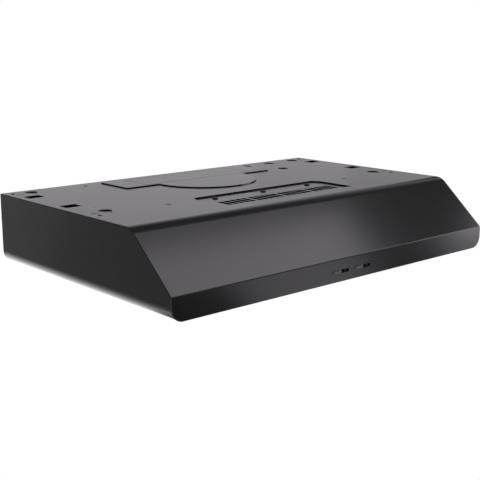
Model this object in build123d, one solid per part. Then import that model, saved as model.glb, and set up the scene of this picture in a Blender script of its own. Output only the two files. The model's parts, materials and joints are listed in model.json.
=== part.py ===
from build123d import *
import os
from math import atan2, cos, pi, radians, sin, tan

os.makedirs("parts", exist_ok=True)

# Under cabinet range hood, 30 inch class, in millimetres.
# X runs to the right, the front faces -Y, Z is up. "u" is a distance forward from the back.
# The pieces are drawn with z = 0 on the upper face of the top sheet and then lifted, so that the
# origin of the finished part is the middle of the four hanging keyholes, on the floor of their seats.
# "seam" is the gap between touching sheets, "over" how far a cutting tool runs past a face,
# and "near" how close two places count as one.

# Shell
width = 759.0
depth = 501.0
height = 127.0
top_depth = 404.0
lip_height = 40.0
front_bend_r = 32.0
side_roll_r = 22.0
corner_r = 1.2
lip_edge_r = 3.0
corner_wrap = 3.0
sheet = 0.8
seam = 0.1
over = 1.0
near = 0.01
rear_gap = 0.3
rim_flange = 8.0
rear_flange = 6.0
side_flange = 28.0
lip_return = 42.0

# Hanging keyholes, each in a sunk round seat
key_rear_u = 26.0
key_spacing = 240.0
key_edge = 48.5
key_r = 5.0
key_slot = 5.0
key_slot_length = 15.5
key_seat_r = 11.5
key_seat_sink = 1.6
key_seat_behind = 1.5

# Square holes, dash slots and rivets along the sides of the top
square_u = (70.0, 191.0)
square_edge = 28.5
square_length = 30.0
square_width = 24.0
square_r = 2.0
dash_from_key = 8.5
dash_edge = 22.0
dash_length = 16.0
dash_width = 3.2
flange_clear = 1.5
pilot_r = 1.5
pilot_edges = ((43.5, 201.0), (51.5, 230.0), (26.5, 259.0))
rivet_rear_edge = 16.0
rivet_front_edge = 21.0
rivet_r = 2.0
rivet_head_r = 3.4
rivet_head = 0.9
rivet_rear_u = 17.0
rivet_front_u = 291.0

# Raised duct plateau with its scored rectangular knock-out
plateau_rise = 2.0
plateau_width = 358.0
plateau_rear_u = 22.0
plateau_front_u = 108.0
plateau_round_r = 105.0
plateau_round_u = 112.0
plateau_edge_r = 0.5
duct_width = 260.0
duct_depth = 76.0
score_width = 1.2
score_depth = 0.4
rear_duct_drop = 62.0

# Wire hole, punched wire knock-outs and small holes
wire_hole_r = 11.1
wire_beside_plateau = 48.0
wire_u = 104.0
knockout_r = 11.1
knockout_u = 28.0
knockout_left = 36.0
knockout_right = 30.0
knockout_drop = 1.2
knockout_gap = 0.4
knockout_tab = 4.0
small_hole_r = 4.2
small_hole_edge = 161.5
small_hole_u = (28.0, 287.0)

# Sunk vent field with slots in four groups
vent_sink = 2.5
vent_width = 314.0
vent_rear_u = 266.0
vent_front_u = 362.0
vent_corner_x = 9.0
vent_corner_u = 18.0
slot_groups = 4
slots_per_group = 5
group_pitch = 70.0
slot_pitch = 13.2
slot_width = 10.4
slot_length = 34.0
slot_r = 1.5
slot_u = 331.0
vent_screw_u = 285.0
vent_screw_pitch = 115.0
vent_pilot_x = 179.0
vent_pilot_u = 271.0

# Screws
screw_r = 2.0
screw_head_r = 4.0
screw_head = 1.7
screw_play = 0.2
screw_length = 7.0
cross_length = 4.2
cross_width = 0.9
cross_depth = 1.0
hex_r = 4.3
hex_head = 1.5
hex_edge_r = 0.4
hex_flange_r = 6.0
hex_flange = 0.8

# Switches in the lip
switch_x = (-23.0, 31.5)
switch_drop = 109.0
switch_slot_length = 42.0
switch_slot_height = 6.0
switch_slot_r = 2.9
switch_body_r = 1.5
knob_length = 20.0
knob_play = 0.5
knob_proud = 0.8
ridge_proud = 3.2
ridge_length = 15.0
ridge_height = 3.0
carrier_extra = 4.0
carrier_thick = 1.6
slide_gap = 0.3
stem_size = 4.0
stem_length = 6.0
switch_body_length = 50.0
switch_body_height = 18.0
switch_body_depth = 22.0
bracket_sheet = 1.2
bracket_foot = 14.0

# Bottom pan
pan_rise = 14.0
pan_gap = 1.0
pan_skirt_lift = 1.0
pan_bracket_inset = 47.0
pan_bracket_width = 30.0
pan_bracket_reach = 16.0
pan_bracket_leg = 20.0
pan_bracket_step = 13.0

# Grease filter
filter_lamp_gap = 27.0
filter_depth = 298.0
filter_thick = 9.0
filter_rear_u = 41.0
filter_border = 12.0
filter_gap = 1.5
filter_overlap = 10.0
frame_wall = 1.2
mesh_thick = 1.2
mesh_play = 0.15
mesh_columns = 14
mesh_rows = 9
mesh_strand = 5.0
pin_r = 2.0
pin_play = 0.3
pin_length = 5.0
pin_inset = 3.0
hook_thick = 2.0
hook_gap = 1.5
hook_width = 11.0
clip_x = 110.0
clip_width = 24.0
clip_sheet = 0.8
clip_gap = 0.5
clip_foot = 14.0
clip_drop = 8.0
pull_width = 34.0
pull_length = 15.0
pull_lip = 3.0

# Blower
blower_u = 190.0
spiral_step = 14.0
spiral_r = 103.0
blower_height = 88.0
plenum_margin = 10.0
outlet_margin = 4.0
tab_width = 80.0
tab_drop = 16.0
inlet_r = 70.0
inlet_bell_r = 6.0

# Blower wheel
wheel_r = 85.0
wheel_drop = 12.0
wheel_height = 68.0
blade_inner_r = 66.0
blade_count = 36
blade_lead = 11.0
blade_sag = 4.0
blade_thick = 1.2
wheel_sheet = 1.5
wheel_ring = 5.0
dome_r = 52.0
dome_clear = 6.0
hub_r = 12.0
hub_height = 14.0
hub_play = 0.05

# Motor
motor_r = 46.0
motor_height = 54.0
motor_rim = 3.0
motor_rim_height = 5.0
motor_edge = 6.0
motor_boss_r = 13.0
motor_boss = 5.0
motor_bolt_r = 38.0
shaft_r = 4.0
shaft_play = 0.06
shaft_clear = 0.5
bearing_r = 8.0
bearing_length = 9.0
nut_across = 13.0
nut_height = 6.0

# Capacitor on the side of the blower
cap_length = 46.0
cap_width = 20.0
cap_height = 32.0
cap_r = 3.0
cap_u = 240.0
cap_drop = 22.0
cap_gap = 0.3
cap_clip_width = 14.0
cap_clip_tab = 12.0

# Wiring box under the wire hole
box_length = 104.0
box_rear_u = 15.0
box_front_u = 149.0
box_beside_wire = 1.5
box_height = 45.0
box_flange = 8.0
box_r = 5.0

# Lamp
lamp_side = 93.5
lamp_front = 139.0
lens_length = 150.0
lens_width = 94.0
lens_r = 10.0
lens_drop = 6.0
lens_wall = 2.2
lens_flange = 7.0
lens_play = 0.4
lamp_height = 72.0
lamp_flange = 9.0
bulb_r = 30.0
bulb_wall = 0.8
bulb_length = 104.0
bulb_neck_r = 15.0
bulb_cap_r = 13.0
bulb_cap_length = 26.0
bulb_lift = 38.0
socket_r = 19.0
socket_length = 36.0
socket_play = 0.3

# Places worked out from the sizes above
half = width / 2
back_y = key_rear_u + key_spacing / 2
wire_x = plateau_width / 2 + wire_beside_plateau
knockout_x = (wire_x - knockout_left, wire_x + knockout_right)
box_x = wire_x + box_beside_wire
box_u = (box_rear_u + box_front_u) / 2
box_width = box_front_u - box_rear_u
key_u = (key_rear_u, key_rear_u + key_spacing)
key_places = [(side * (half - key_edge), u) for side in (-1, 1) for u in key_u]
small_hole_x = half - small_hole_edge
small_holes = (
    (-small_hole_x, small_hole_u[0]),
    (-small_hole_x, small_hole_u[1]),
    (small_hole_x, small_hole_u[1]),
)
slope_angle = atan2(height - lip_height, depth - top_depth)
top_under = -sheet - seam
vent_floor = -vent_sink - sheet
blower_top = vent_floor - seam
blower_floor = blower_top - blower_height
motor_top = blower_top - sheet - seam
dome_low = motor_top - motor_height - motor_boss - dome_clear
hub_low = dome_low - hub_height
pan_under = pan_rise - height
pan_top = pan_under + sheet
pan_half = half - side_roll_r - rim_flange - pan_gap
pan_rear_u = rear_flange + pan_gap
pan_front_u = depth - sheet - lip_return - pan_gap
pan_middle_u = (pan_rear_u + pan_front_u) / 2
pan_bracket_u = (pan_rear_u + pan_bracket_inset, pan_middle_u, pan_front_u - pan_bracket_inset)
lamp_x = lamp_side - pan_half
lamp_u = pan_front_u - lamp_front
filter_width = 2 * (-lamp_x - lens_width / 2 - filter_lamp_gap)
filter_top = pan_under - filter_gap
filter_mid = filter_top - filter_thick / 2
lip_inside_u = depth - sheet
knob_height = switch_slot_height - 2 * knob_play
slide_travel = switch_slot_length - knob_length - 2 * knob_play
outlet_x = spiral_r + 2.5 * spiral_step


def block(x0, x1, u0, u1, z0, z1):
    middle = Pos((x0 + x1) / 2, back_y - (u0 + u1) / 2, (z0 + z1) / 2)
    return middle * Box(x1 - x0, u1 - u0, z1 - z0)


def plan(x, u, sketch):
    return Pos(x, back_y - u) * sketch


def raised(sketch, z0, z1):
    return extrude(Pos(0, 0, z0) * sketch, amount=z1 - z0, dir=(0, 0, 1))


def disc(x, u, r, z0, z1):
    return raised(plan(x, u, Circle(r)), z0, z1)


def turned(points):
    return revolve(Plane.XZ * make_face(Polyline(*points, close=True)), Axis.Z)


def on_blower(part):
    return Pos(0, back_y - blower_u) * part


def screw(x, u, z_seat, up, length=screw_length):
    # A cross-recess pan-head screw whose head seats at z_seat and points up or down
    head = Pos(0, 0, screw_head / 2) * Cylinder(screw_head_r, screw_head)
    head = fillet(head.edges().group_by(Axis.Z)[-1], screw_head / 2)
    cross = Box(cross_length, cross_width, cross_depth) + Box(cross_width, cross_length, cross_depth)
    head -= Pos(0, 0, screw_head - cross_depth / 2) * cross
    shank = Pos(0, 0, -length / 2) * Cylinder(screw_r, length)
    turn = Rot() if up else Rot(180, 0, 0)
    return Pos(x, back_y - u, z_seat) * turn * (head + shank)


def hex_screw(x, u, z_seat):
    # A hexagon washer-head screw that points down
    head = Pos(0, 0, hex_flange) * extrude(RegularPolygon(hex_r, 6), hex_head)
    head = fillet(head.edges().group_by(Axis.Z)[-1], hex_edge_r)
    flange = Pos(0, 0, hex_flange / 2) * Cylinder(hex_flange_r, hex_flange)
    shank = Pos(0, 0, -screw_length / 2) * Cylinder(screw_r, screw_length)
    return Pos(x, back_y - u, z_seat) * (head + flange + shank)


def group(solids):
    return Compound(children=list(solids))


# Shell
def hood_profile(inset, past_back=0.0, past_bottom=0.0):
    bend_u = top_depth - inset * tan(slope_angle / 2)
    lip_z = lip_height - height - inset * tan((pi / 2 - slope_angle) / 2)
    front = back_y - depth + inset
    bottom = -height + inset - past_bottom
    back = back_y + past_back
    corners = [(back, -inset), (back_y - bend_u, -inset), (front, lip_z), (front, bottom), (back, bottom)]
    radii = [0, front_bend_r - inset, lip_edge_r - inset, 0, 0]
    return Plane.YZ * make_face(FilletPolyline(*corners, radius=radii, close=True))


def front_outline(inset, top_r=0.0):
    x = half - inset
    corners = [(-x, -inset), (x, -inset), (x, inset - height), (-x, inset - height)]
    radii = [top_r, top_r, side_roll_r - inset, side_roll_r - inset]
    return Plane.XZ * make_face(FilletPolyline(*corners, radius=radii, close=True))


def hood_form(inset, past_back=0.0):
    lengthways = extrude(hood_profile(inset, past_back), amount=width, both=True)
    crossways = extrude(front_outline(inset), amount=2 * depth, both=True)
    form = lengthways & crossways
    front = back_y - depth + inset
    roll_z = side_roll_r - height

    def on_side_rim(edge):
        middle = edge @ 0.5
        on_side = abs(abs(middle.X) - half + inset) < near
        on_front = abs(middle.Y - front) < near
        at_back = abs(middle.Y - back_y - past_back) < near
        at_roll = abs(middle.Z - roll_z) < near
        low_front = on_front and middle.Z < roll_z
        return (on_side and not at_back and not at_roll) or low_front

    return fillet(form.edges().filter_by(on_side_rim), corner_r - inset)


def keyhole(x, u):
    slot_end = plan(x, u + key_slot_length, Circle(key_slot / 2))
    slot = plan(x, u + key_slot_length / 2, Rectangle(key_slot, key_slot_length))
    return plan(x, u, Circle(key_r)) + slot + slot_end


def side_top_cuts(grow=0.0):
    cuts = []
    for side in (-1, 1):
        for u in square_u:
            hole = RectangleRounded(square_length + 2 * grow, square_width + 2 * grow, square_r)
            cuts.append(plan(side * (half - square_edge), u, hole))
        for u in key_u:
            dash = SlotOverall(dash_length + 2 * grow, dash_width + 2 * grow)
            cuts.append(plan(side * (half - dash_edge), u + dash_from_key, dash))
        for edge, u in pilot_edges:
            cuts.append(plan(side * (half - edge), u, Circle(pilot_r + grow)))
    return cuts


def rivet_places():
    ends = ((rivet_rear_edge, rivet_rear_u), (rivet_front_edge, rivet_front_u))
    return [(side * (half - edge), u) for side in (-1, 1) for edge, u in ends]


def plateau_outline(inset):
    plate_depth = plateau_front_u - plateau_rear_u
    middle_u = (plateau_front_u + plateau_rear_u) / 2
    plate = plan(0, middle_u, Rectangle(plateau_width, plate_depth))
    front_half = plan(0, plateau_round_u + plateau_round_r, Rectangle(plateau_width, 2 * plateau_round_r))
    round_part = plan(0, plateau_round_u, Circle(plateau_round_r)) & front_half
    neck_depth = plateau_round_u - middle_u
    neck = plan(0, middle_u + neck_depth / 2, Rectangle(2 * plateau_round_r, neck_depth))
    outline = plate + round_part + neck
    return offset(outline, -inset, kind=Kind.INTERSECTION) if inset else outline


def scored(outline, z):
    # A shallow score line along the inside of an outline, cut down from z
    ring = outline - offset(outline, -score_width, kind=Kind.INTERSECTION)
    return raised(ring, z - score_depth, z + score_depth)


def vent_outline(grow):
    x = vent_width / 2 + grow
    rear = vent_rear_u - grow
    front = vent_front_u + grow
    right = [(x - vent_corner_x, rear), (x, rear + vent_corner_u), (x, front)]
    left = [(-a, u) for a, u in reversed(right)]
    return Polygon(*[(a, back_y - u) for a, u in right + left], align=None)


def vent_slots():
    slots = []
    for g in range(slot_groups):
        group_x = (g - (slot_groups - 1) / 2) * group_pitch
        for i in range(slots_per_group):
            x = group_x + (i - (slots_per_group - 1) / 2) * slot_pitch
            slots.append(plan(x, slot_u, RectangleRounded(slot_width, slot_length, slot_r)))
    return slots


def vent_screw_places():
    return [(k * vent_screw_pitch, vent_screw_u) for k in (-1, 0, 1)]


def knockout(x):
    # A punched disc that still hangs on two tabs, a little below the sheet
    low = -knockout_drop - sheet
    slug = disc(x, knockout_u, knockout_r - knockout_gap, low, -knockout_drop)
    for side in (-1, 1):
        middle = x + side * knockout_r
        t = knockout_tab / 2
        slug += block(middle - t / 2, middle + t / 2, knockout_u - t, knockout_u + t, low, -sheet / 2)
    return slug


def switch_slot(x):
    opening = RectangleRounded(switch_slot_length, switch_slot_height, switch_slot_r)
    place = Plane.XZ.offset(depth - back_y) * Pos(x, -switch_drop)
    return extrude(place * opening, amount=2 * sheet, both=True)


def skin():
    # The bent sheet all round, open at the back
    return hood_form(0) - hood_form(sheet, past_back=depth)


def canopy():
    hollow = extrude(hood_profile(sheet, past_back=depth, past_bottom=height), amount=width, both=True)
    body = hood_form(0) - hollow
    trim = half - corner_wrap
    body &= block(-trim, trim, -over, depth + over, -height - over, over)
    hem_x = half - side_roll_r - rim_flange - seam
    hem_rear = lip_inside_u - lip_return
    body += skin() & block(-hem_x, hem_x, hem_rear, depth + over, -height - over, corner_r - height)
    body += raised(plateau_outline(0), -sheet, plateau_rise)
    body -= raised(plateau_outline(sheet), -2 * sheet, plateau_rise - sheet)
    rim = body.faces().filter_by(Axis.Z).sort_by(Axis.Z)[-1].edges()
    body = fillet(rim, plateau_edge_r)
    body += raised(vent_outline(sheet), vent_floor, -sheet / 2)
    body -= raised(vent_outline(0), -vent_sink, sheet)
    for x, u in key_places:
        seat_u = u - key_seat_behind
        body += disc(x, seat_u, key_seat_r + sheet, -key_seat_sink - sheet, -sheet / 2)
        body -= disc(x, seat_u, key_seat_r, -key_seat_sink, sheet)

    cuts = side_top_cuts() + vent_slots()
    cuts += [keyhole(x, u) for x, u in key_places]
    cuts += [plan(x, knockout_u, Circle(knockout_r)) for x in knockout_x]
    cuts += [plan(side * vent_pilot_x, vent_pilot_u, Circle(pilot_r)) for side in (-1, 1)]
    cuts.append(plan(wire_x, wire_u, Circle(wire_hole_r)))
    cuts += [plan(x, u, Circle(small_hole_r)) for x, u in small_holes]
    cuts += [plan(x, u, Circle(rivet_r + screw_play)) for x, u in rivet_places()]
    cuts += [plan(x, u, Circle(screw_r + screw_play)) for x, u in vent_screw_places()]
    tools = [raised(cut, 2 * vent_floor, sheet) for cut in cuts]
    tools += [switch_slot(x) for x in switch_x]
    duct_u = (plateau_rear_u + plateau_front_u) / 2
    tools.append(scored(plan(0, duct_u, Rectangle(duct_width, duct_depth)), plateau_rise))
    return body - tools + [knockout(x) for x in knockout_x]


def right_side_panel():
    shell = skin()
    wall_x = half - corner_wrap + seam
    low = -height - over
    wall = shell & block(wall_x, half + over, -over, depth + over, low, over)
    flange_x = half - side_roll_r - rim_flange
    roll_front = lip_inside_u - seam
    roll = shell & block(flange_x, half + over, sheet + rear_gap, roll_front, low, side_roll_r - height)
    flange_front = top_depth - front_bend_r
    flange_low = top_under - sheet
    flange = block(half - side_flange, half - sheet / 2, pan_rear_u, flange_front, flange_low, top_under)
    holes = [raised(cut, -4 * sheet, 0) for cut in side_top_cuts(flange_clear)]
    holes += [disc(x, u, rivet_r + screw_play, -4 * sheet, 0) for x, u in rivet_places()]
    return (wall + roll + flange) - holes


def rear_panel():
    inset = sheet + rear_gap
    face = extrude(front_outline(inset, corner_r - inset), amount=rear_flange, dir=(0, -1, 0))
    inside = extrude(front_outline(inset + sheet), amount=rear_flange, dir=(0, -1, 0))
    tray = Pos(0, back_y) * face - Pos(0, back_y - sheet) * inside
    duct = Rectangle(duct_width, duct_depth)
    score = Plane.XZ * Pos(0, -rear_duct_drop) * (duct - offset(duct, -score_width, kind=Kind.INTERSECTION))
    return tray - Pos(0, back_y) * extrude(score, amount=score_depth, both=True)


def rivets():
    shank_low = top_under - sheet
    places = []
    for x, u in rivet_places():
        head = disc(x, u, rivet_head_r, 0, rivet_head)
        head = fillet(head.edges().group_by(Axis.Z)[-1], rivet_head / 2)
        tail = disc(x, u, rivet_head_r, shank_low - rivet_head, shank_low)
        places.append(head + disc(x, u, rivet_r, shank_low, 0) + tail)
    return group(places)


# Bottom pan and what fastens it
def pan_screw_places():
    x = pan_half - pan_bracket_reach / 2
    return [(side * x, u) for side in (-1, 1) for u in pan_bracket_u]


def bottom_pan():
    tray = block(-pan_half, pan_half, pan_rear_u, pan_front_u, pan_skirt_lift - height, pan_top)
    pocket = block(
        -pan_half + sheet,
        pan_half - sheet,
        pan_rear_u + sheet,
        pan_front_u - sheet,
        -height,
        pan_under,
    )
    reach_x = filter_width / 2 - filter_overlap
    rear = filter_rear_u + filter_overlap
    front = filter_rear_u + filter_depth - filter_overlap
    low, high = pan_under - over, pan_top + over
    air = block(-reach_x, reach_x, rear, front, low, high)
    lens_hole = RectangleRounded(lens_width + 2 * lens_play, lens_length + 2 * lens_play, lens_r)
    tools = [pocket, air, raised(plan(lamp_x, lamp_u, lens_hole), low, high)]
    tools += [disc(x, u, screw_r + screw_play, low, high) for x, u in pan_screw_places()]
    return tray - tools


def pan_brackets():
    # Joggled straps: foot on the side wall, step over the rolled edge, ledge on the pan
    inner = half - sheet - seam
    ledge = pan_top + seam
    step_z = side_roll_r - height
    step_x = inner - pan_bracket_step
    t = bracket_sheet
    outline = [
        (inner, step_z + pan_bracket_leg),
        (inner, step_z),
        (step_x, step_z),
        (step_x, ledge),
        (pan_half - pan_bracket_reach, ledge),
        (pan_half - pan_bracket_reach, ledge + t),
        (step_x - t, ledge + t),
        (step_x - t, step_z + t),
        (inner - t, step_z + t),
        (inner - t, step_z + pan_bracket_leg),
    ]
    solids = []
    screw_x = pan_half - pan_bracket_reach / 2
    for u in pan_bracket_u:
        strap = extrude(Plane.XZ * Polygon(*outline, align=None), amount=pan_bracket_width / 2, both=True)
        strap = Pos(0, back_y - u) * strap
        strap -= disc(screw_x, u, screw_r + screw_play, ledge - over, ledge + 2 * t)
        solids += [strap, mirror(strap, about=Plane.YZ)]
    return group(solids)


def pan_screws():
    return group(screw(x, u, pan_under, up=False) for x, u in pan_screw_places())


# Grease filter
def filter_frame():
    x = filter_width / 2
    front = filter_rear_u + filter_depth
    low = filter_top - filter_thick
    rail = block(-x, x, filter_rear_u, front, low, filter_top)
    b = filter_border
    rail -= block(-x + b, x - b, filter_rear_u + b, front - b, low - over, filter_top + over)
    w = frame_wall
    groove = mesh_thick / 2 + mesh_play
    rail -= block(-x + w, x - w, filter_rear_u + w, front - w, filter_mid - groove, filter_mid + groove)
    pin = Plane.YZ * Pos(back_y - filter_rear_u - pin_inset, filter_mid) * Circle(pin_r)
    for side in (-1, 1):
        rail += Pos(side * (x - w)) * extrude(pin, amount=side * (pin_length + w))
    return rail


def filter_mesh():
    x = filter_width / 2 - frame_wall - mesh_play
    u0 = filter_rear_u + frame_wall + mesh_play
    u1 = filter_rear_u + filter_depth - frame_wall - mesh_play
    net = block(-x, x, u0, u1, filter_mid - mesh_thick / 2, filter_mid + mesh_thick / 2)
    open_x = filter_width - 2 * filter_border
    open_y = filter_depth - 2 * filter_border
    pitch_x = open_x / mesh_columns
    pitch_y = open_y / mesh_rows
    diamond = Polygon(
        (-pitch_x / 2 + mesh_strand / 2, 0),
        (0, pitch_y / 2 - mesh_strand / 2),
        (pitch_x / 2 - mesh_strand / 2, 0),
        (0, mesh_strand / 2 - pitch_y / 2),
    )
    middle = filter_rear_u + filter_depth / 2
    holes = [place * diamond for place in GridLocations(pitch_x, pitch_y, mesh_columns, mesh_rows)]
    cut = plan(0, middle, Sketch() + holes)
    return net - raised(cut, filter_mid - mesh_thick, filter_mid + mesh_thick)


def filter_pull():
    low = filter_top - filter_thick - seam
    front = filter_rear_u + filter_depth
    tab = block(-pull_width / 2, pull_width / 2, front - pull_length, front, low - sheet, low)
    lip = block(
        -pull_width / 2,
        pull_width / 2,
        front - pull_length,
        front - pull_length + sheet,
        low - sheet - pull_lip,
        low,
    )
    return tab + lip


def filter_hooks():
    axis_u = filter_rear_u + pin_inset
    x0 = filter_width / 2 + hook_gap
    eye_z = filter_mid
    solids = []
    rear, front = axis_u - hook_width / 2, axis_u + hook_width / 2
    for side in (-1, 1):
        plate = block(x0, x0 + hook_thick, rear, front, eye_z, pan_under)
        eye = Plane.YZ * Pos(back_y - axis_u, eye_z) * Circle(hook_width / 2)
        plate += Pos(x0) * extrude(eye, amount=hook_thick)
        seat = pan_under - seam
        foot = block(x0, x0 + hook_width, rear, front, seat - hook_thick / 2, seat)
        plate = (plate & block(0, width, 0, depth, -height, seat)) + foot
        bore = Plane.YZ * Pos(back_y - axis_u, eye_z) * Circle(pin_r + pin_play)
        plate -= extrude(bore, amount=width)
        solids.append(plate if side > 0 else mirror(plate, about=Plane.YZ))
    return group(solids)


def filter_clips():
    # Leaf clips in front of the filter: foot under the pan, leg down, bulge towards the filter
    front = filter_rear_u + filter_depth + clip_gap
    top = pan_under - seam
    t = clip_sheet
    bulge = FilletPolyline(
        (front + clip_foot, top - t / 2),
        (front + 2 * t, top - t / 2),
        (front + 2 * t, top - clip_drop / 2),
        (front + t / 2, top - clip_drop),
        (front + 2 * t, top - 1.5 * clip_drop),
        radius=t,
    )
    leaf = Plane.YZ * (Pos(back_y) * mirror(trace(bulge, t), about=Plane.YZ))
    solid = extrude(leaf, amount=clip_width / 2, both=True)
    return group(Pos(side * clip_x) * solid for side in (-1, 1))


# Blower
def housing_outline():
    a = spiral_step
    plenum_rear = slot_u - slot_length / 2 - plenum_margin - blower_u
    plenum_front = slot_u + slot_length / 2 + plenum_margin - blower_u
    tongue = (-a / 2, a / 2 - spiral_r)
    edges = [
        CenterArc((-a / 2, a / 2), spiral_r, 180, 90),
        CenterArc((a / 2, a / 2), spiral_r + a, 90, 90),
        CenterArc((a / 2, -a / 2), spiral_r + 2 * a, 0, 90),
        Polyline(
            (outlet_x, -a / 2),
            (outlet_x, -plenum_front),
            (-outlet_x, -plenum_front),
            (-outlet_x, -plenum_rear),
            tongue,
        ),
    ]
    return Pos(0, back_y - blower_u) * make_face(edges)


def motor_bolt_places():
    angles = [radians(90 + 120 * k) for k in range(3)]
    return [(motor_bolt_r * cos(a), blower_u - motor_bolt_r * sin(a)) for a in angles]


def blower_housing():
    outline = housing_outline()
    shell = raised(outline, blower_floor, blower_top)
    shell -= raised(offset(outline, -sheet), blower_floor - over, blower_top - sheet)
    rear_u = sheet + rear_gap + seam + sheet
    tab_u = blower_u - spiral_r
    shell += block(-tab_width / 2, tab_width / 2, rear_u, tab_u, blower_top - sheet, blower_top)
    shell += block(-tab_width / 2, tab_width / 2, rear_u, rear_u + sheet, blower_top - tab_drop, blower_top)
    outlet = block(
        sheet - outlet_x,
        outlet_x - sheet,
        slot_u - slot_length / 2 - outlet_margin,
        slot_u + slot_length / 2 + outlet_margin,
        blower_top - 2 * sheet,
        blower_top + over,
    )
    places = vent_screw_places() + motor_bolt_places()
    holes = [disc(x, u, screw_r + screw_play, blower_top - 2 * sheet, blower_top + over) for x, u in places]
    return shell - [outlet] - holes


def inlet_plate():
    top = blower_floor - seam
    low = top - sheet
    bell_x = inlet_r + inlet_bell_r
    plate = raised(housing_outline(), low, top) - disc(0, blower_u, bell_x, low - over, top + over)
    centre = (bell_x, low + inlet_bell_r)
    outer = CenterArc(centre, inlet_bell_r, 180, 90)
    inner = CenterArc(centre, inlet_bell_r - sheet, 180, 90)
    section = make_face([outer, inner, Line(outer @ 0, inner @ 0), Line(outer @ 1, inner @ 1)])
    return plate + on_blower(revolve(Plane.XZ * section, Axis.Z))


def blower_screws():
    return group(hex_screw(x, u, -vent_sink) for x, u in vent_screw_places())


def motor_screws():
    return group(screw(x, u, blower_top, up=True) for x, u in motor_bolt_places())


def polar(r, degrees):
    return (r * cos(radians(degrees)), r * sin(radians(degrees)))


def blade():
    # One forward-curved blade, seen along the shaft; the tip leads the clockwise turn
    middle_r = (blade_inner_r + wheel_r) / 2
    shift = blade_thick / middle_r * 180 / pi
    front = ThreePointArc(
        polar(blade_inner_r, 0), polar(middle_r, blade_sag - blade_lead / 2), polar(wheel_r, -blade_lead)
    )
    rear = ThreePointArc(
        polar(blade_inner_r, shift),
        polar(middle_r, blade_sag - blade_lead / 2 + shift),
        polar(wheel_r, shift - blade_lead),
    )
    return make_face([front, rear, Line(front @ 0, rear @ 0), Line(front @ 1, rear @ 1)])


def blower_wheel():
    top = blower_top - wheel_drop
    low = top - wheel_height
    t = wheel_sheet
    blades = PolarLocations(0, blade_count) * blade()
    wheel = extrude(Pos(0, 0, low) * (Sketch() + blades), amount=wheel_height)
    bore = shaft_r + hub_play
    back = turned(
        [
            (wheel_r, top),
            (dome_r, top),
            (dome_r, dome_low),
            (bore, dome_low),
            (bore, hub_low),
            (hub_r, hub_low),
            (hub_r, dome_low - t),
            (dome_r + t, dome_low - t),
            (dome_r + t, top - t),
            (wheel_r, top - t),
        ]
    )
    ring_r = wheel_r - wheel_ring
    ring = turned([(ring_r, low), (wheel_r, low), (wheel_r, low + t), (ring_r, low + t)])
    return on_blower(wheel + back + ring)


def motor_body():
    top = motor_top
    low = top - motor_height
    boss_low = low - motor_boss
    bore = shaft_r + shaft_clear
    section = [
        (bore, top),
        (motor_r - motor_rim, top),
        (motor_r - motor_rim, top - motor_rim_height),
        (motor_r, top - motor_rim_height),
        (motor_r, low + motor_edge),
        (motor_r - motor_edge, low),
        (motor_boss_r, low),
        (motor_boss_r, boss_low),
        (bearing_r + seam, boss_low),
        (bearing_r + seam, boss_low + bearing_length + seam),
        (bore, boss_low + bearing_length + seam),
    ]
    body = turned(section)
    seat = top - bearing_length - seam
    body -= Pos(0, 0, (seat + top) / 2) * Cylinder(bearing_r + seam, top - seat)
    places = motor_bolt_places()
    holes = [disc(x, u, screw_r + screw_play, top - screw_length, top) for x, u in places]
    return on_blower(body) - holes


def motor_bearings():
    top = motor_top
    low = top - motor_height - motor_boss
    bore = shaft_r + shaft_play
    solids = []
    for z in (top - bearing_length / 2, low + bearing_length / 2):
        sleeve = Cylinder(bearing_r, bearing_length) - Cylinder(bore, 2 * bearing_length)
        solids.append(on_blower(Pos(0, 0, z) * sleeve))
    return group(solids)


def motor_shaft():
    low = hub_low - seam - nut_height
    rod = Pos(0, 0, (motor_top + low) / 2) * Cylinder(shaft_r, motor_top - low)
    return on_blower(chamfer(rod.edges().group_by(Axis.Z)[0], shaft_r / 8))


def wheel_nut():
    high = hub_low - seam
    hexagon = RegularPolygon(nut_across / 2, 6, major_radius=False)
    nut = extrude(Pos(0, 0, high - nut_height) * (hexagon - Circle(shaft_r + hub_play)), amount=nut_height)
    return on_blower(nut)


def motor_capacitor():
    wall = outlet_x + cap_gap
    can = block(
        wall,
        wall + cap_width,
        cap_u - cap_length / 2,
        cap_u + cap_length / 2,
        -cap_drop - cap_height,
        -cap_drop,
    )
    return fillet(can.edges(), cap_r)


def capacitor_clip():
    # A bent strap over the capacitor, with two tabs on the blower wall
    wall = outlet_x + seam
    t = bracket_sheet
    out = outlet_x + cap_gap + cap_width + cap_gap
    low = -cap_drop - cap_height - cap_gap
    high = -cap_drop + cap_gap
    outline = [
        (wall, high + cap_clip_tab),
        (wall + t, high + cap_clip_tab),
        (wall + t, high + t),
        (out + t, high + t),
        (out + t, low - t),
        (wall + t, low - t),
        (wall + t, low - cap_clip_tab),
        (wall, low - cap_clip_tab),
        (wall, low),
        (out, low),
        (out, high),
        (wall, high),
    ]
    strap = extrude(Plane.XZ * Polygon(*outline, align=None), amount=cap_clip_width / 2, both=True)
    return Pos(0, back_y - cap_u) * strap


# Wiring box
def cover_screw_hole(z0, z1):
    place = Pos(0, box_width / 2 - box_flange)
    return raised(place * Circle(screw_r + screw_play), z0, z1)


def junction_box():
    low = top_under - box_height
    walls = RectangleRounded(box_length, box_width, box_r)
    inner = offset(walls, -sheet)
    rim = RectangleRounded(box_length + 2 * box_flange, box_width, box_r)
    tube = raised(walls - inner, low, top_under) + raised(rim - inner, top_under - sheet, top_under)
    ear = Pos(0, box_width / 2 - box_flange) * Rectangle(2 * box_flange, 2 * box_flange - sheet)
    tube += raised(ear, low, low + bracket_sheet)
    tube -= cover_screw_hole(low - over, low + box_height)
    return Pos(box_x, back_y - box_u) * tube


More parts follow.
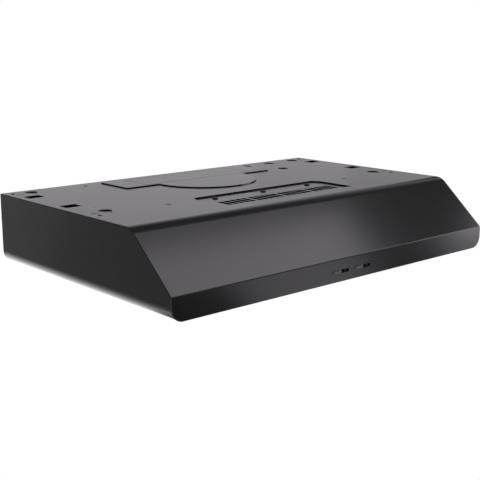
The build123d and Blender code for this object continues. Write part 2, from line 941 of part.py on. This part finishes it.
def junction_cover():
    high = top_under - box_height - seam
    lid = raised(RectangleRounded(box_length, box_width, box_r), high - sheet, high)
    lid -= cover_screw_hole(high - 2 * sheet, high + over)
    return Pos(box_x, back_y - box_u) * lid


def junction_screw():
    seat = top_under - box_height - seam - sheet
    return screw(box_x, box_rear_u + box_flange, seat, up=False)


# Switches
def slider(x):
    # Resting at the left end of its slot
    left = x - switch_slot_length / 2 + knob_play
    middle = left + knob_length / 2
    z = -switch_drop
    carrier_front = lip_inside_u - slide_gap
    carrier_rear = carrier_front - carrier_thick
    h = knob_height / 2
    knob = block(left, left + knob_length, carrier_rear, depth + knob_proud, z - h, z + h)
    knob = fillet(knob.edges().filter_by(Axis.Y), switch_slot_r - knob_play)
    ridge = block(
        middle - ridge_length / 2,
        middle + ridge_length / 2,
        depth,
        depth + ridge_proud,
        z - ridge_height / 2,
        z + ridge_height / 2,
    )
    ridge = fillet(ridge.faces().sort_by(Axis.Y)[0].edges(), ridge_height / 4)
    e = carrier_extra
    carrier = block(left - e, left + knob_length + e, carrier_rear, carrier_front, z - h - e, z + h + e)
    s = stem_size / 2
    stem = block(middle - s, middle + s, carrier_rear - stem_length, carrier_rear, z - s, z + s)
    return knob + ridge + carrier + stem


def switch_front_u():
    return lip_inside_u - slide_gap - carrier_thick - slide_gap


def switch_body(x):
    front = switch_front_u()
    z = -switch_drop
    x0 = x - switch_body_length / 2
    x1 = x + switch_body_length / 2
    h = switch_body_height / 2
    body = block(x0, x1, front - switch_body_depth, front, z - h, z + h)
    body = fillet(body.edges().filter_by(Axis.Y), switch_body_r)
    s = stem_size / 2 + slide_gap
    run = slide_travel / 2 + s
    body -= block(x - run, x + run, front - stem_length - slide_gap, front + over, z - s, z + s)
    return body


def switch_bracket():
    rear = switch_front_u() - switch_body_depth - seam
    x0 = switch_x[0] - switch_body_length / 2
    x1 = switch_x[1] + switch_body_length / 2
    low = sheet - height + seam
    high = switch_body_height / 2 - switch_drop
    wall = block(x0, x1, rear - bracket_sheet, rear, low, high)
    foot = block(x0, x1, rear - bracket_foot, rear, low, low + bracket_sheet)
    return wall + foot


# Lamp
def lamp_lens():
    def outline(grow):
        return RectangleRounded(lens_width + 2 * grow, lens_length + 2 * grow, lens_r + grow)

    high = pan_top + seam + lens_wall
    low = pan_under - lens_drop
    dish = raised(outline(0), low, pan_top + 2 * seam)
    dish = fillet(dish.edges().group_by(Axis.Z)[0], lens_drop / 2)
    dish += raised(outline(lens_flange), pan_top + seam, high)
    dish -= raised(outline(-lens_wall), low + lens_wall, high + over)
    return Pos(lamp_x, back_y - lamp_u) * dish


def lamp_box_size():
    room = 2 * (lens_flange + lens_play)
    return lens_width + room, lens_length + room


def lamp_housing():
    across, along = lamp_box_size()
    inner = RectangleRounded(across, along, lens_r + lens_flange)
    outer = offset(inner, sheet)
    rim = offset(inner, lamp_flange)
    low = pan_top + seam
    high = low + lamp_height
    shade = raised(outer, low, high)
    shade = fillet(shade.edges().group_by(Axis.Z)[-1], lens_r)
    hollow = raised(inner, low - over, high - sheet)
    hollow = fillet(hollow.edges().group_by(Axis.Z)[-1], lens_r - sheet)
    shade = shade - hollow + raised(rim - inner, low, low + sheet)
    return Pos(lamp_x, back_y - lamp_u) * shade


def lamp_axis():
    # Plane whose Z runs forward along the bulb, from the inside of the rear wall of the housing
    rear_u = lamp_u - lamp_box_size()[1] / 2
    return Plane((lamp_x, back_y - rear_u, pan_top + bulb_lift), x_dir=(1, 0, 0), z_dir=(0, -1, 0))


def lamp_socket():
    bore = bulb_cap_r + socket_play
    points = [
        (0, seam),
        (socket_r, seam),
        (socket_r, socket_length),
        (bore, socket_length),
        (bore, socket_length - bulb_cap_length - socket_play),
        (0, socket_length - bulb_cap_length - socket_play),
    ]
    return lamp_axis() * turned(points)


def bulb_cap():
    start = socket_length - bulb_cap_length
    return lamp_axis() * Pos(0, 0, start + bulb_cap_length / 2) * Cylinder(bulb_cap_r, bulb_cap_length)


def bulb_form(inset):
    start = socket_length + seam + inset
    globe_z = socket_length - bulb_cap_length + bulb_length - bulb_r
    r = bulb_r - inset
    foot_r = bulb_cap_r - inset
    outline = Polyline((0, globe_z + r), (0, start), (foot_r, start))
    neck = (bulb_neck_r - inset, globe_z - bulb_r)
    flank = Spline((foot_r, start), neck, (r, globe_z), tangents=((0, 1), (0, 1)))
    crown = CenterArc((0, globe_z), r, 0, 90)
    return revolve(Plane.XZ * make_face([outline, flank, crown]), Axis.Z)


def bulb_glass():
    return lamp_axis() * (bulb_form(0) - bulb_form(bulb_wall))


right_side = right_side_panel()
nodes = {
    "canopy": canopy(),
    "right_side_panel": right_side,
    "left_side_panel": mirror(right_side, about=Plane.YZ),
    "rear_panel": rear_panel(),
    "side_rivets": rivets(),
    "bottom_pan": bottom_pan(),
    "pan_brackets": pan_brackets(),
    "pan_screws": pan_screws(),
    "filter_frame": filter_frame(),
    "filter_mesh": filter_mesh(),
    "filter_pull": filter_pull(),
    "filter_hooks": filter_hooks(),
    "filter_clips": filter_clips(),
    "blower_housing": blower_housing(),
    "inlet_plate": inlet_plate(),
    "blower_screws": blower_screws(),
    "blower_wheel": blower_wheel(),
    "wheel_nut": wheel_nut(),
    "motor_body": motor_body(),
    "motor_bearings": motor_bearings(),
    "motor_shaft": motor_shaft(),
    "motor_screws": motor_screws(),
    "motor_capacitor": motor_capacitor(),
    "capacitor_clip": capacitor_clip(),
    "junction_box": junction_box(),
    "junction_cover": junction_cover(),
    "junction_screw": junction_screw(),
    "light_slider": slider(switch_x[0]),
    "fan_slider": slider(switch_x[1]),
    "light_switch": switch_body(switch_x[0]),
    "fan_switch": switch_body(switch_x[1]),
    "switch_bracket": switch_bracket(),
    "lamp_housing": lamp_housing(),
    "lamp_lens": lamp_lens(),
    "lamp_socket": lamp_socket(),
    "bulb_cap": bulb_cap(),
    "bulb_glass": bulb_glass(),
}
for name, drawn in nodes.items():
    lifted = [Pos(0, 0, key_seat_sink) * solid for solid in drawn.solids()]
    export_step(group(lifted), f"parts/{name}.step")
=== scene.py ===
import json
import math

import bmesh
import bpy
from mathutils import Matrix, Vector


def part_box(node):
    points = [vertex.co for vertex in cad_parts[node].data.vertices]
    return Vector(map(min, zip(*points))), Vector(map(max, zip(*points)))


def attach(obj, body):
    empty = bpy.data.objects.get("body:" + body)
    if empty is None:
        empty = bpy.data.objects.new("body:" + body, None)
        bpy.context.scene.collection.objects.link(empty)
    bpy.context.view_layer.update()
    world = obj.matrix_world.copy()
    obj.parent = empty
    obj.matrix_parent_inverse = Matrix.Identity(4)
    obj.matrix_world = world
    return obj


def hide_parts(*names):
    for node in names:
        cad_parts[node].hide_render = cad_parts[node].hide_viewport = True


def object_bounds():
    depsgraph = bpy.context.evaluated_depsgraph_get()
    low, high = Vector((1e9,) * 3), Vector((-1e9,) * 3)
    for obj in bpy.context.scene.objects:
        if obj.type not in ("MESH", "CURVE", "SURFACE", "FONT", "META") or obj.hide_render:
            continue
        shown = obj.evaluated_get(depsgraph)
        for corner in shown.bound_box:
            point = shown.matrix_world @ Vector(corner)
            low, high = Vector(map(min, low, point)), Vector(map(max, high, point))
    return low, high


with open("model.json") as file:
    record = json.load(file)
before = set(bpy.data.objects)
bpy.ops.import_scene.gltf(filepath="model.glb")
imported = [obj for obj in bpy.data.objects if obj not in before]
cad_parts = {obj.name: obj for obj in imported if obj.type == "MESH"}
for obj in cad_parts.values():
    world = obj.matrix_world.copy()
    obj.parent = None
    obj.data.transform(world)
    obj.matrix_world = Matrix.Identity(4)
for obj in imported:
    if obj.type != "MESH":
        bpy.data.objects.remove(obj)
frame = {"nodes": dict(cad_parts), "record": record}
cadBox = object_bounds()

print("frame loaded:", len(frame["nodes"]), "nodes")

photoCamera = {
    "target": (-0.02611, -0.10466, -0.09412),
    "azimuth": -41.63,  # degrees from the front, to the right
    "elevation": 12.442,
    "distance": 1.7331,
    "lens": 69.57,
    "sensor": 36.0,
}


def link(obj):
    bpy.context.scene.collection.objects.link(obj)
    return obj


def addCamera(c):
    data = bpy.data.cameras.new("photoCamera")
    data.lens, data.sensor_width = c["lens"], c["sensor"]
    cam = link(bpy.data.objects.new("photoCamera", data))
    a, e = math.radians(c["azimuth"]), math.radians(c["elevation"])
    back = Vector((math.sin(a) * math.cos(e), -math.cos(a) * math.cos(e), math.sin(e)))
    target = Vector(c["target"])
    cam.location = target + back * c["distance"]
    cam.rotation_mode = "QUATERNION"
    cam.rotation_quaternion = (target - cam.location).to_track_quat("-Z", "Y")
    bpy.context.scene.camera = cam
    bpy.context.scene.view_settings.view_transform = "Standard"


addCamera(photoCamera)
print("camera set")


class Wire:  # one socket of a node tree: maths on it adds Math nodes
    def __init__(self, tree, socket=None):
        self.tree, self.socket = tree, socket

    def put(self, kind, settings=None, sockets=None, out=0):
        node = self.tree.nodes.new(kind)
        for name, value in (settings or {}).items():
            setattr(node, name, value)
        for name, value in (sockets or {}).items():
            if isinstance(value, Wire):
                self.tree.links.new(value.socket, node.inputs[name])
            else:
                node.inputs[name].default_value = value
        return Wire(self.tree, node.outputs[out] if node.outputs else None)

    def maths(self, operation, a, b):
        return self.put("ShaderNodeMath", {"operation": operation}, {0: a, 1: b})

    def __add__(self, other):
        return self.maths("ADD", self, other)

    def __sub__(self, other):
        return self.maths("SUBTRACT", self, other)

    def __rsub__(self, other):
        return self.maths("SUBTRACT", other, self)

    def __mul__(self, other):
        return self.maths("MULTIPLY", self, other)

    def __or__(self, other):  # the larger of the two
        return self.maths("MAXIMUM", self, other)

    __radd__, __rmul__, __ror__ = __add__, __mul__, __or__


def objectPlace(w, scale=(1, 1, 1), turn=(0, 0, 0)):
    place = w.put("ShaderNodeTexCoord", out="Object")
    return w.put("ShaderNodeMapping", None, {"Vector": place, "Scale": scale, "Rotation": turn})


def noise(w, scale, detail=2.0, stretch=(1, 1, 1)):
    place = objectPlace(w, stretch)
    return w.put("ShaderNodeTexNoise", None, {"Vector": place, "Scale": scale, "Detail": detail})


def ribs(w, direction, pitch):  # straight ribs: at scale 1 the wave node has 20 of them in a length of tau
    return w.put(
        "ShaderNodeTexWave",
        {"wave_type": "BANDS", "bands_direction": direction},
        {"Vector": objectPlace(w), "Scale": math.tau / 20 / pitch},
        out="Fac",
    )


def mixed(w, factor, first, second):  # 6, 7 and 2 are the Mix node's colour sockets
    return w.put("ShaderNodeMix", {"data_type": "RGBA"}, {"Factor": factor, 6: first, 7: second}, out=2)


def between(w, factor, dark, light):  # a colour mixed from two plain ones
    return mixed(w, factor, (*dark, 1), (*light, 1))


def around(level, share, span):  # a share of 0 to 1 spread over a span about the level
    return level + (share - 0.5) * span


def bump(w, height, strength, distance):
    return w.put("ShaderNodeBump", None, {"Height": height, "Strength": strength, "Distance": distance})


def material(name, look, fixed):
    mat = bpy.data.materials.new(name)
    mat.use_nodes = True
    tree = mat.node_tree
    shader = tree.nodes["Principled BSDF"]
    for socket, value in fixed.items():
        shader.inputs[socket].default_value = value
    for socket, value in look(Wire(tree)).items():
        tree.links.new(value.socket, shader.inputs[socket])
    return mat


enamel = {
    "dark": (0.0095, 0.0095, 0.0100),
    "light": (0.0125, 0.0125, 0.0130),
    "cloudScale": 9.0,
    "cloudDetail": 3.0,
    "roughness": 0.16,
    "roughnessSpan": 0.03,
    "peelScale": 420.0,
    "peelDetail": 1.0,
    "peelStrength": 0.06,
    "peelDepth": 0.0004,
}


def enamelLook(w):
    e = enamel
    cloud = noise(w, e["cloudScale"], e["cloudDetail"])
    peel = noise(w, e["peelScale"], e["peelDetail"])
    return {
        "Base Color": between(w, cloud, e["dark"], e["light"]),
        "Roughness": around(e["roughness"], cloud, e["roughnessSpan"]),
        "Normal": bump(w, peel, e["peelStrength"], e["peelDepth"]),
    }


galvanised = {
    "dark": (0.42, 0.44, 0.46),
    "light": (0.66, 0.68, 0.70),
    "spangle": 160.0,  # zinc crystals to the metre
    "roughness": 0.34,
    "roughnessSpan": 0.2,
}


def galvanisedLook(w):
    g = galvanised
    place = objectPlace(w)
    cells = w.put("ShaderNodeTexVoronoi", None, {"Vector": place, "Scale": g["spangle"]}, out="Color")
    tone = w.put("ShaderNodeSeparateColor", None, {"Color": cells}, out="Red")
    return {
        "Base Color": between(w, tone, g["dark"], g["light"]),
        "Roughness": around(g["roughness"], tone, g["roughnessSpan"]),
    }


metalGrain = {"detail": 3.0, "roughnessSpan": 0.16, "strength": 0.25, "depth": 0.00002}


def metalLook(dark, light, scale, roughness, stretch=(1, 1, 1)):
    m = metalGrain

    def look(w):
        grain = noise(w, scale, m["detail"], stretch)
        return {
            "Base Color": between(w, grain, dark, light),
            "Roughness": around(roughness, grain, m["roughnessSpan"]),
            "Normal": bump(w, grain, m["strength"], m["depth"]),
        }

    return look


plasticGrain = {
    "cloudSize": 30,  # times the size of the grain
    "roughnessSpan": 0.08,
    "strength": 0.2,
    "depth": 0.00003,
}


def plasticLook(dark, light, scale, roughness):
    p = plasticGrain

    def look(w):
        grain = noise(w, scale)
        cloud = noise(w, scale / p["cloudSize"])
        return {
            "Base Color": between(w, cloud, dark, light),
            "Roughness": around(roughness, cloud, p["roughnessSpan"]),
            "Normal": bump(w, grain, p["strength"], p["depth"]),
        }

    return look


lampLens = {
    "tint": (0.90, 0.92, 0.92),
    "clear": (0.97, 0.98, 0.98),
    "frostScale": 700.0,
    "roughness": 0.34,
    "roughnessSpan": 0.12,
    "ribPitch": 0.009,
    "ribStrength": 0.8,
    "ribDepth": 0.0006,
}


def lensLook(w):  # pressed ribs run front to back
    p = lampLens
    frost = noise(w, p["frostScale"])
    return {
        "Base Color": between(w, frost, p["tint"], p["clear"]),
        "Roughness": around(p["roughness"], frost, p["roughnessSpan"]),
        "Normal": bump(w, ribs(w, "X", p["ribPitch"]), p["ribStrength"], p["ribDepth"]),
    }


bulbThread = {
    "dark": (0.62, 0.55, 0.36),
    "light": (0.80, 0.74, 0.52),
    "grainScale": 300.0,
    "roughness": 0.31,
    "roughnessSpan": 0.14,
    "pitch": 0.00363,
    "strength": 0.9,
    "depth": 0.0012,
}


def threadLook(w):  # rolled thread along the bulb, which lies front to back
    t = bulbThread
    grain = noise(w, t["grainScale"])
    return {
        "Base Color": between(w, grain, t["dark"], t["light"]),
        "Roughness": around(t["roughness"], grain, t["roughnessSpan"]),
        "Normal": bump(w, ribs(w, "Y", t["pitch"]), t["strength"], t["depth"]),
    }


metal = {"Metallic": 1.0}
enamelCoat = {"IOR": 1.5, "Specular Tint": (0.99, 0.968, 1.0, 1)}
clearPlastic = {"Transmission Weight": 0.85, "IOR": 1.49}
frostedGlass = {"Transmission Weight": 0.4}
finishes = {  # dark and light tone, grain to the metre, roughness
    "black_enamel": (enamelLook, enamelCoat),
    "galvanised_sheet": (galvanisedLook, metal),
    "zinc_screws": (metalLook((0.55, 0.55, 0.54), (0.74, 0.74, 0.73), 500.0, 0.28), metal),
    "black_screws": (plasticLook((0.016, 0.016, 0.017), (0.030, 0.030, 0.031), 900.0, 0.42), {}),
    "spring_steel": (metalLook((0.30, 0.31, 0.34), (0.46, 0.47, 0.50), 300.0, 0.26), metal),
    "filter_aluminium": (  # brushed from side to side
        metalLook((0.28, 0.285, 0.29), (0.40, 0.405, 0.41), 60.0, 0.38, stretch=(1, 22, 22)),
        metal,
    ),
    "filter_mesh": (metalLook((0.58, 0.59, 0.60), (0.86, 0.87, 0.88), 260.0, 0.26), metal),
    "wheel_plastic": (plasticLook((0.030, 0.030, 0.032), (0.060, 0.060, 0.063), 900.0, 0.45), {}),
    "motor_paint": (plasticLook((0.05, 0.05, 0.055), (0.08, 0.08, 0.085), 600.0, 0.40), {}),
    "bearing_bronze": (metalLook((0.45, 0.30, 0.15), (0.66, 0.48, 0.27), 900.0, 0.42), metal),
    "shaft_steel": (  # turned, with rings about the shaft
        metalLook((0.60, 0.60, 0.60), (0.76, 0.76, 0.76), 90.0, 0.20, stretch=(1, 1, 20)),
        metal,
    ),
    "capacitor_case": (plasticLook((0.70, 0.70, 0.66), (0.80, 0.80, 0.77), 500.0, 0.30), {}),
    # the slider knobs are dark plastic: part of this lighter grey is their own tone and part is a painted
    # highlight; the printed switch marks use it too
    "slider_plastic": (plasticLook((0.066, 0.066, 0.067), (0.086, 0.086, 0.087), 1500.0, 0.34), {}),
    "switch_plastic": (plasticLook((0.008, 0.008, 0.009), (0.016, 0.016, 0.017), 900.0, 0.50), {}),
    "lamp_white": (plasticLook((0.80, 0.80, 0.77), (0.88, 0.88, 0.86), 400.0, 0.35), {}),
    "lens_plastic": (lensLook, clearPlastic),
    "socket_ceramic": (plasticLook((0.82, 0.81, 0.78), (0.90, 0.89, 0.87), 300.0, 0.22), {}),
    "bulb_cap_metal": (threadLook, metal),
    "bulb_glass": (plasticLook((0.90, 0.90, 0.88), (0.97, 0.97, 0.96), 400.0, 0.30), frostedGlass),
}
paint = {slot: material(slot, look, fixed) for slot, (look, fixed) in finishes.items()}
for part in frame["record"]["subparts"]:
    obj = frame["nodes"][part["node"]]
    obj.data.materials.clear()
    obj.data.materials.append(paint[part["material_slot"]])


def piece(name, bm, body, slot):
    mesh = bpy.data.meshes.new(name)
    bm.to_mesh(mesh)
    bm.free()
    obj = link(bpy.data.objects.new(name, mesh))
    mesh.materials.append(paint[slot])
    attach(obj, body)
    return obj


net = {"cellX": 0.0125, "cellY": 0.0070, "strand": 0.0009, "layers": 2}


def netLayer(low, high, shift, height):  # a grid turned on its corner, cut to the frame, made into strands
    n = net
    middle = (low + high) / 2
    reach = max((high.x - low.x) / n["cellX"], (high.y - low.y) / n["cellY"])
    count = int(2 * math.ceil(reach))
    bm = bmesh.new()
    bmesh.ops.create_grid(bm, x_segments=count, y_segments=count, size=count / 2 / math.sqrt(2))
    place = Matrix.Translation((middle.x + shift * n["cellX"], middle.y, height))
    squash = Matrix.Diagonal((n["cellX"], n["cellY"], 1, 1))
    turn = Matrix.Rotation(math.radians(45), 4, "Z")
    bmesh.ops.transform(bm, matrix=place @ squash @ turn, verts=bm.verts)
    for corner, normal in ((low, (-1, 0, 0)), (low, (0, -1, 0)), (high, (1, 0, 0)), (high, (0, 1, 0))):
        geom = bm.verts[:] + bm.edges[:] + bm.faces[:]
        bmesh.ops.bisect_plane(bm, geom=geom, plane_co=corner, plane_no=normal, clear_outer=True)
    bmesh.ops.wireframe(bm, faces=bm.faces, thickness=n["strand"], use_replace=True, use_boundary=True)
    return bm


def addNet():
    low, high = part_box("filter_mesh")
    middle = (low.z + high.z) / 2
    whole = bmesh.new()
    for k in range(net["layers"]):  # each lies on the one below, half a cell along
        height = middle + (k - (net["layers"] - 1) / 2) * net["strand"]
        layer = netLayer(low, high, k / 2, height)
        mesh = bpy.data.meshes.new("layer")
        layer.to_mesh(mesh)
        layer.free()
        whole.from_mesh(mesh)
        bpy.data.meshes.remove(mesh)
    obj = piece("filterNet", whole, "filter", "filter_mesh")
    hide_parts("filter_mesh")
    print("filter net:", len(obj.data.polygons), "faces")


addNet()

ticks = {
    "proud": 0.00006,
    "width": 0.0006,
    "marks": {  # beside and above the middle of the slider at rest, then the length
        "light_slider": ((0.0, 0.0090, 0.0022), (0.0210, 0.0090, 0.0040)),
        "fan_slider": ((0.0, 0.0090, 0.0022), (0.0105, 0.0095, 0.0032), (0.0210, 0.0100, 0.0042)),
    },
}


def addTicks(t):  # printed position marks on the lip, over the two sliders
    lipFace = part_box("canopy")[0].y
    bm = bmesh.new()
    for slider, marks in t["marks"].items():
        low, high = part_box(slider)
        middle = (low + high) / 2
        for beside, above, length in marks:
            place = Matrix.Translation((middle.x + beside, lipFace, middle.z + above))
            size = Matrix.Diagonal((t["width"], 2 * t["proud"], length, 1))
            bmesh.ops.create_cube(bm, size=1, matrix=place @ size)
    piece("switchMarks", bm, "hood", "slider_plastic")
    print("switch marks over", len(t["marks"]), "sliders")


addTicks(ticks)

studio = {
    "white": (0.82, 0.82, 0.82),
    "tint": (1.0, 0.972, 1.012),
    "cardDrop": 0.50,  # from the lowest point of the hood down to the cards
    "sweepSteps": 48,
}
cardZ = cadBox[0].z - studio["cardDrop"]
rayKinds = ("Camera", "Glossy", "Transmission")


def tinted(level):
    return [level * share for share in studio["tint"]]


def grey(level):
    return [level] * 3


def emptied(owner):  # the node tree of a material or the world, cleared
    owner.use_nodes = True
    owner.node_tree.nodes.clear()
    return Wire(owner.node_tree)


def stagePaint(name, reflected):  # pale to lamps, white to the camera, its own level in reflections
    mat = bpy.data.materials.new(name)
    w = emptied(mat)
    camera, glossy, through = (w.put("ShaderNodeLightPath", out=f"Is {kind} Ray") for kind in rayKinds)
    shade = w.put("ShaderNodeBsdfDiffuse", None, {"Color": (*studio["white"], 1)})
    light = w.put("ShaderNodeEmission", None, {"Color": between(w, camera, tinted(reflected), (1, 1, 1))})
    mix = w.put("ShaderNodeMixShader", None, {0: camera | glossy | through, 1: shade, 2: light})
    w.put("ShaderNodeOutputMaterial", None, {"Surface": mix})
    return mat


def glowPaint(name, colour):
    mat = bpy.data.materials.new(name)
    w = emptied(mat)
    light = w.put("ShaderNodeEmission", None, {"Color": (*colour, 1)})
    w.put("ShaderNodeOutputMaterial", None, {"Surface": light})
    return mat


def fadePaint(name, axis, ends, colours, turn=0.0):  # a glow that changes along an axis
    mat = bpy.data.materials.new(name)
    w = emptied(mat)
    turned = objectPlace(w, turn=(0, 0, -math.radians(turn)))
    place = w.put("ShaderNodeSeparateXYZ", None, {"Vector": turned}, out=axis)
    share = w.put("ShaderNodeMapRange", None, {"Value": place, "From Min": ends[0], "From Max": ends[1]})
    light = w.put("ShaderNodeEmission", None, {"Color": between(w, share, *colours)})
    w.put("ShaderNodeOutputMaterial", None, {"Surface": light})
    return mat


def setObject(name, bm, mat, onlyReflected=False):
    mesh = bpy.data.meshes.new(name)
    bm.to_mesh(mesh)
    bm.free()
    mesh.materials.append(mat)
    obj = link(bpy.data.objects.new(name, mesh))
    if onlyReflected:
        obj.visible_camera = obj.visible_diffuse = obj.visible_shadow = obj.visible_transmission = False
    return obj


def swept(start, end, turn):  # what an edge sweeps in a turn about Z, its ends given as radius and height
    bm = bmesh.new()
    begin = Matrix.Rotation(math.radians(turn[0]), 4, "Z")
    ends = [bm.verts.new(begin @ Vector((radius, 0, z))) for radius, z in (start, end)]
    geom = [*ends, bm.edges.new(ends)]
    angle = math.radians(turn[1] - turn[0])
    steps = studio["sweepSteps"]
    bmesh.ops.spin(bm, geom=geom, axis=(0, 0, 1), cent=(0, 0, 0), angle=angle, steps=steps)
    return bm


def standing(card, low):  # a card bent round the hood, from a height upwards
    return swept((card["radius"], low), (card["radius"], low + card["height"]), card["turn"])


def flat(low, high, height, lean=0.0):  # the lean is its front edge's shift to the right, to its depth
    width, depth = high[0] - low[0], high[1] - low[1]
    middleX, middleY = (low[0] + high[0]) / 2, (low[1] + high[1]) / 2
    bm = bmesh.new()
    place = Matrix.Translation((middleX, middleY, height)) @ Matrix.Diagonal((width, depth, 1, 1))
    bmesh.ops.create_grid(bm, x_segments=1, y_segments=1, size=0.5, matrix=place)
    front = [v for v in bm.verts if v.co.y < middleY]
    bmesh.ops.translate(bm, verts=front, vec=(lean * depth, 0, 0))
    return bm


floor = {"drop": 2.4, "size": 40.0, "reflected": 1.15}


def addFloor(f):
    half = f["size"] / 2
    sheet = flat((-half, -half), (half, half), cadBox[0].z - f["drop"])
    setObject("floor", sheet, stagePaint("paleFloor", f["reflected"]))


backdrop = {"radius": 3.2, "turn": (28.0, 104.0), "height": 2.05, "reflected": 0.61}
fade = {"radius": 3.2, "turn": (8.0, 104.0), "height": 1.6, "levels": (0.48, 0.04)}  # over the backdrop


def addBackdrop(b, f):
    setObject("backdrop", standing(b, cardZ), stagePaint("paleWall", b["reflected"]))
    low = cardZ + b["height"]
    glow = fadePaint("fadeGlow", "Z", (low, low + f["height"]), map(tinted, f["levels"]))
    setObject("fade", standing(f, low), glow, onlyReflected=True)


softbox = {"low": (-0.40, -1.60), "high": (1.435, -0.51), "height": 1.25, "lean": 0.80, "level": 2.15}
softEdge = {"depth": 0.29, "level": 0.55}  # a fainter strip along the softbox


def addSoftbox(s, e):
    sheet = flat(s["low"], s["high"], s["height"], s["lean"])
    lamp = setObject("softbox", sheet, glowPaint("softGlow", tinted(s["level"])))
    lamp.visible_camera = lamp.visible_shadow = False
    shift = s["lean"] * e["depth"]
    left, right, front = s["low"][0] - shift, s["high"][0] - shift, s["high"][1]
    strip = flat((left, front), (right, front + e["depth"]), s["height"], s["lean"])
    setObject("softEdge", strip, glowPaint("edgeGlow", tinted(e["level"])), onlyReflected=True)


wallCards = (  # standing cards that only reflections see
    {"radius": 3.0, "turn": (-38.2, -8.0), "height": 2.2, "level": 2.9},
    {"radius": 3.1, "turn": (28.0, 37.0), "height": 2.05, "level": 0.46},
    {"radius": 3.1, "turn": (37.0, 46.0), "height": 2.05, "level": 0.53},
)
flatCards = (  # flat cards below the hood that only reflections see
    {"turn": (-125.0, -60.5), "reach": (1.2, 4.2), "level": 0.02},
    {"turn": (-46.3, -38.2), "reach": (1.2, 4.2), "level": 0.02},
    {"turn": (106.0, 127.0), "reach": (1.75, 5.0), "level": 0.36},
    {"turn": (127.0, 165.0), "reach": (1.30, 5.0), "level": 0.23},
)


def addCards():
    for k, card in enumerate(wallCards):
        glow = glowPaint("cardGlow", tinted(card["level"]))
        setObject(f"wallCard{k}", standing(card, cardZ), glow, onlyReflected=True)
    for k, card in enumerate(flatCards):
        near, far = card["reach"]
        sheet = swept((near, cardZ), (far, cardZ), card["turn"])
        setObject(f"flatCard{k}", sheet, glowPaint("cardGlow", grey(card["level"])), onlyReflected=True)


underGlow = {  # a card under the hood that brightens to the right and a little to the back
    "low": (-1.20, 0.30),
    "high": (0.60, 1.80),
    "lift": 0.01,
    "turn": 9.0,
    "ends": (-0.86, -0.30),
    "levels": (0.43, 2.40),
}
underShade = {"front": -0.40, "level": 0.40}  # a dim card of the same width in front of it


def addUnderCards(g, s):
    height = cardZ + g["lift"]
    glow = fadePaint("underGlow", "X", g["ends"], map(grey, g["levels"]), g["turn"])
    setObject("underGlow", flat(g["low"], g["high"], height), glow, onlyReflected=True)
    left, rear = g["low"]
    right = g["high"][0]
    sheet = flat((left, s["front"]), (right, rear), height)
    setObject("underShade", sheet, glowPaint("shadeGlow", grey(s["level"])), onlyReflected=True)


air = {"fill": 0.75, "glossFill": 0.07}  # light from all round, and what of it reflections see


def addWorld(a):
    world = bpy.data.worlds.new("studioAir")
    bpy.context.scene.world = world
    w = emptied(world)
    camera = w.put("ShaderNodeLightPath", out="Is Camera Ray")
    glossy = w.put("ShaderNodeLightPath", out="Is Glossy Ray")
    seen = between(w, glossy, grey(a["fill"]), grey(a["glossFill"]))
    light = w.put("ShaderNodeBackground", None, {"Color": mixed(w, camera, seen, (1, 1, 1, 1))})
    w.put("ShaderNodeOutputWorld", None, {"Surface": light})


addFloor(floor)
addBackdrop(backdrop, fade)
addSoftbox(softbox, softEdge)
addCards()
addUnderCards(underGlow, underShade)
addWorld(air)
print("studio lit")
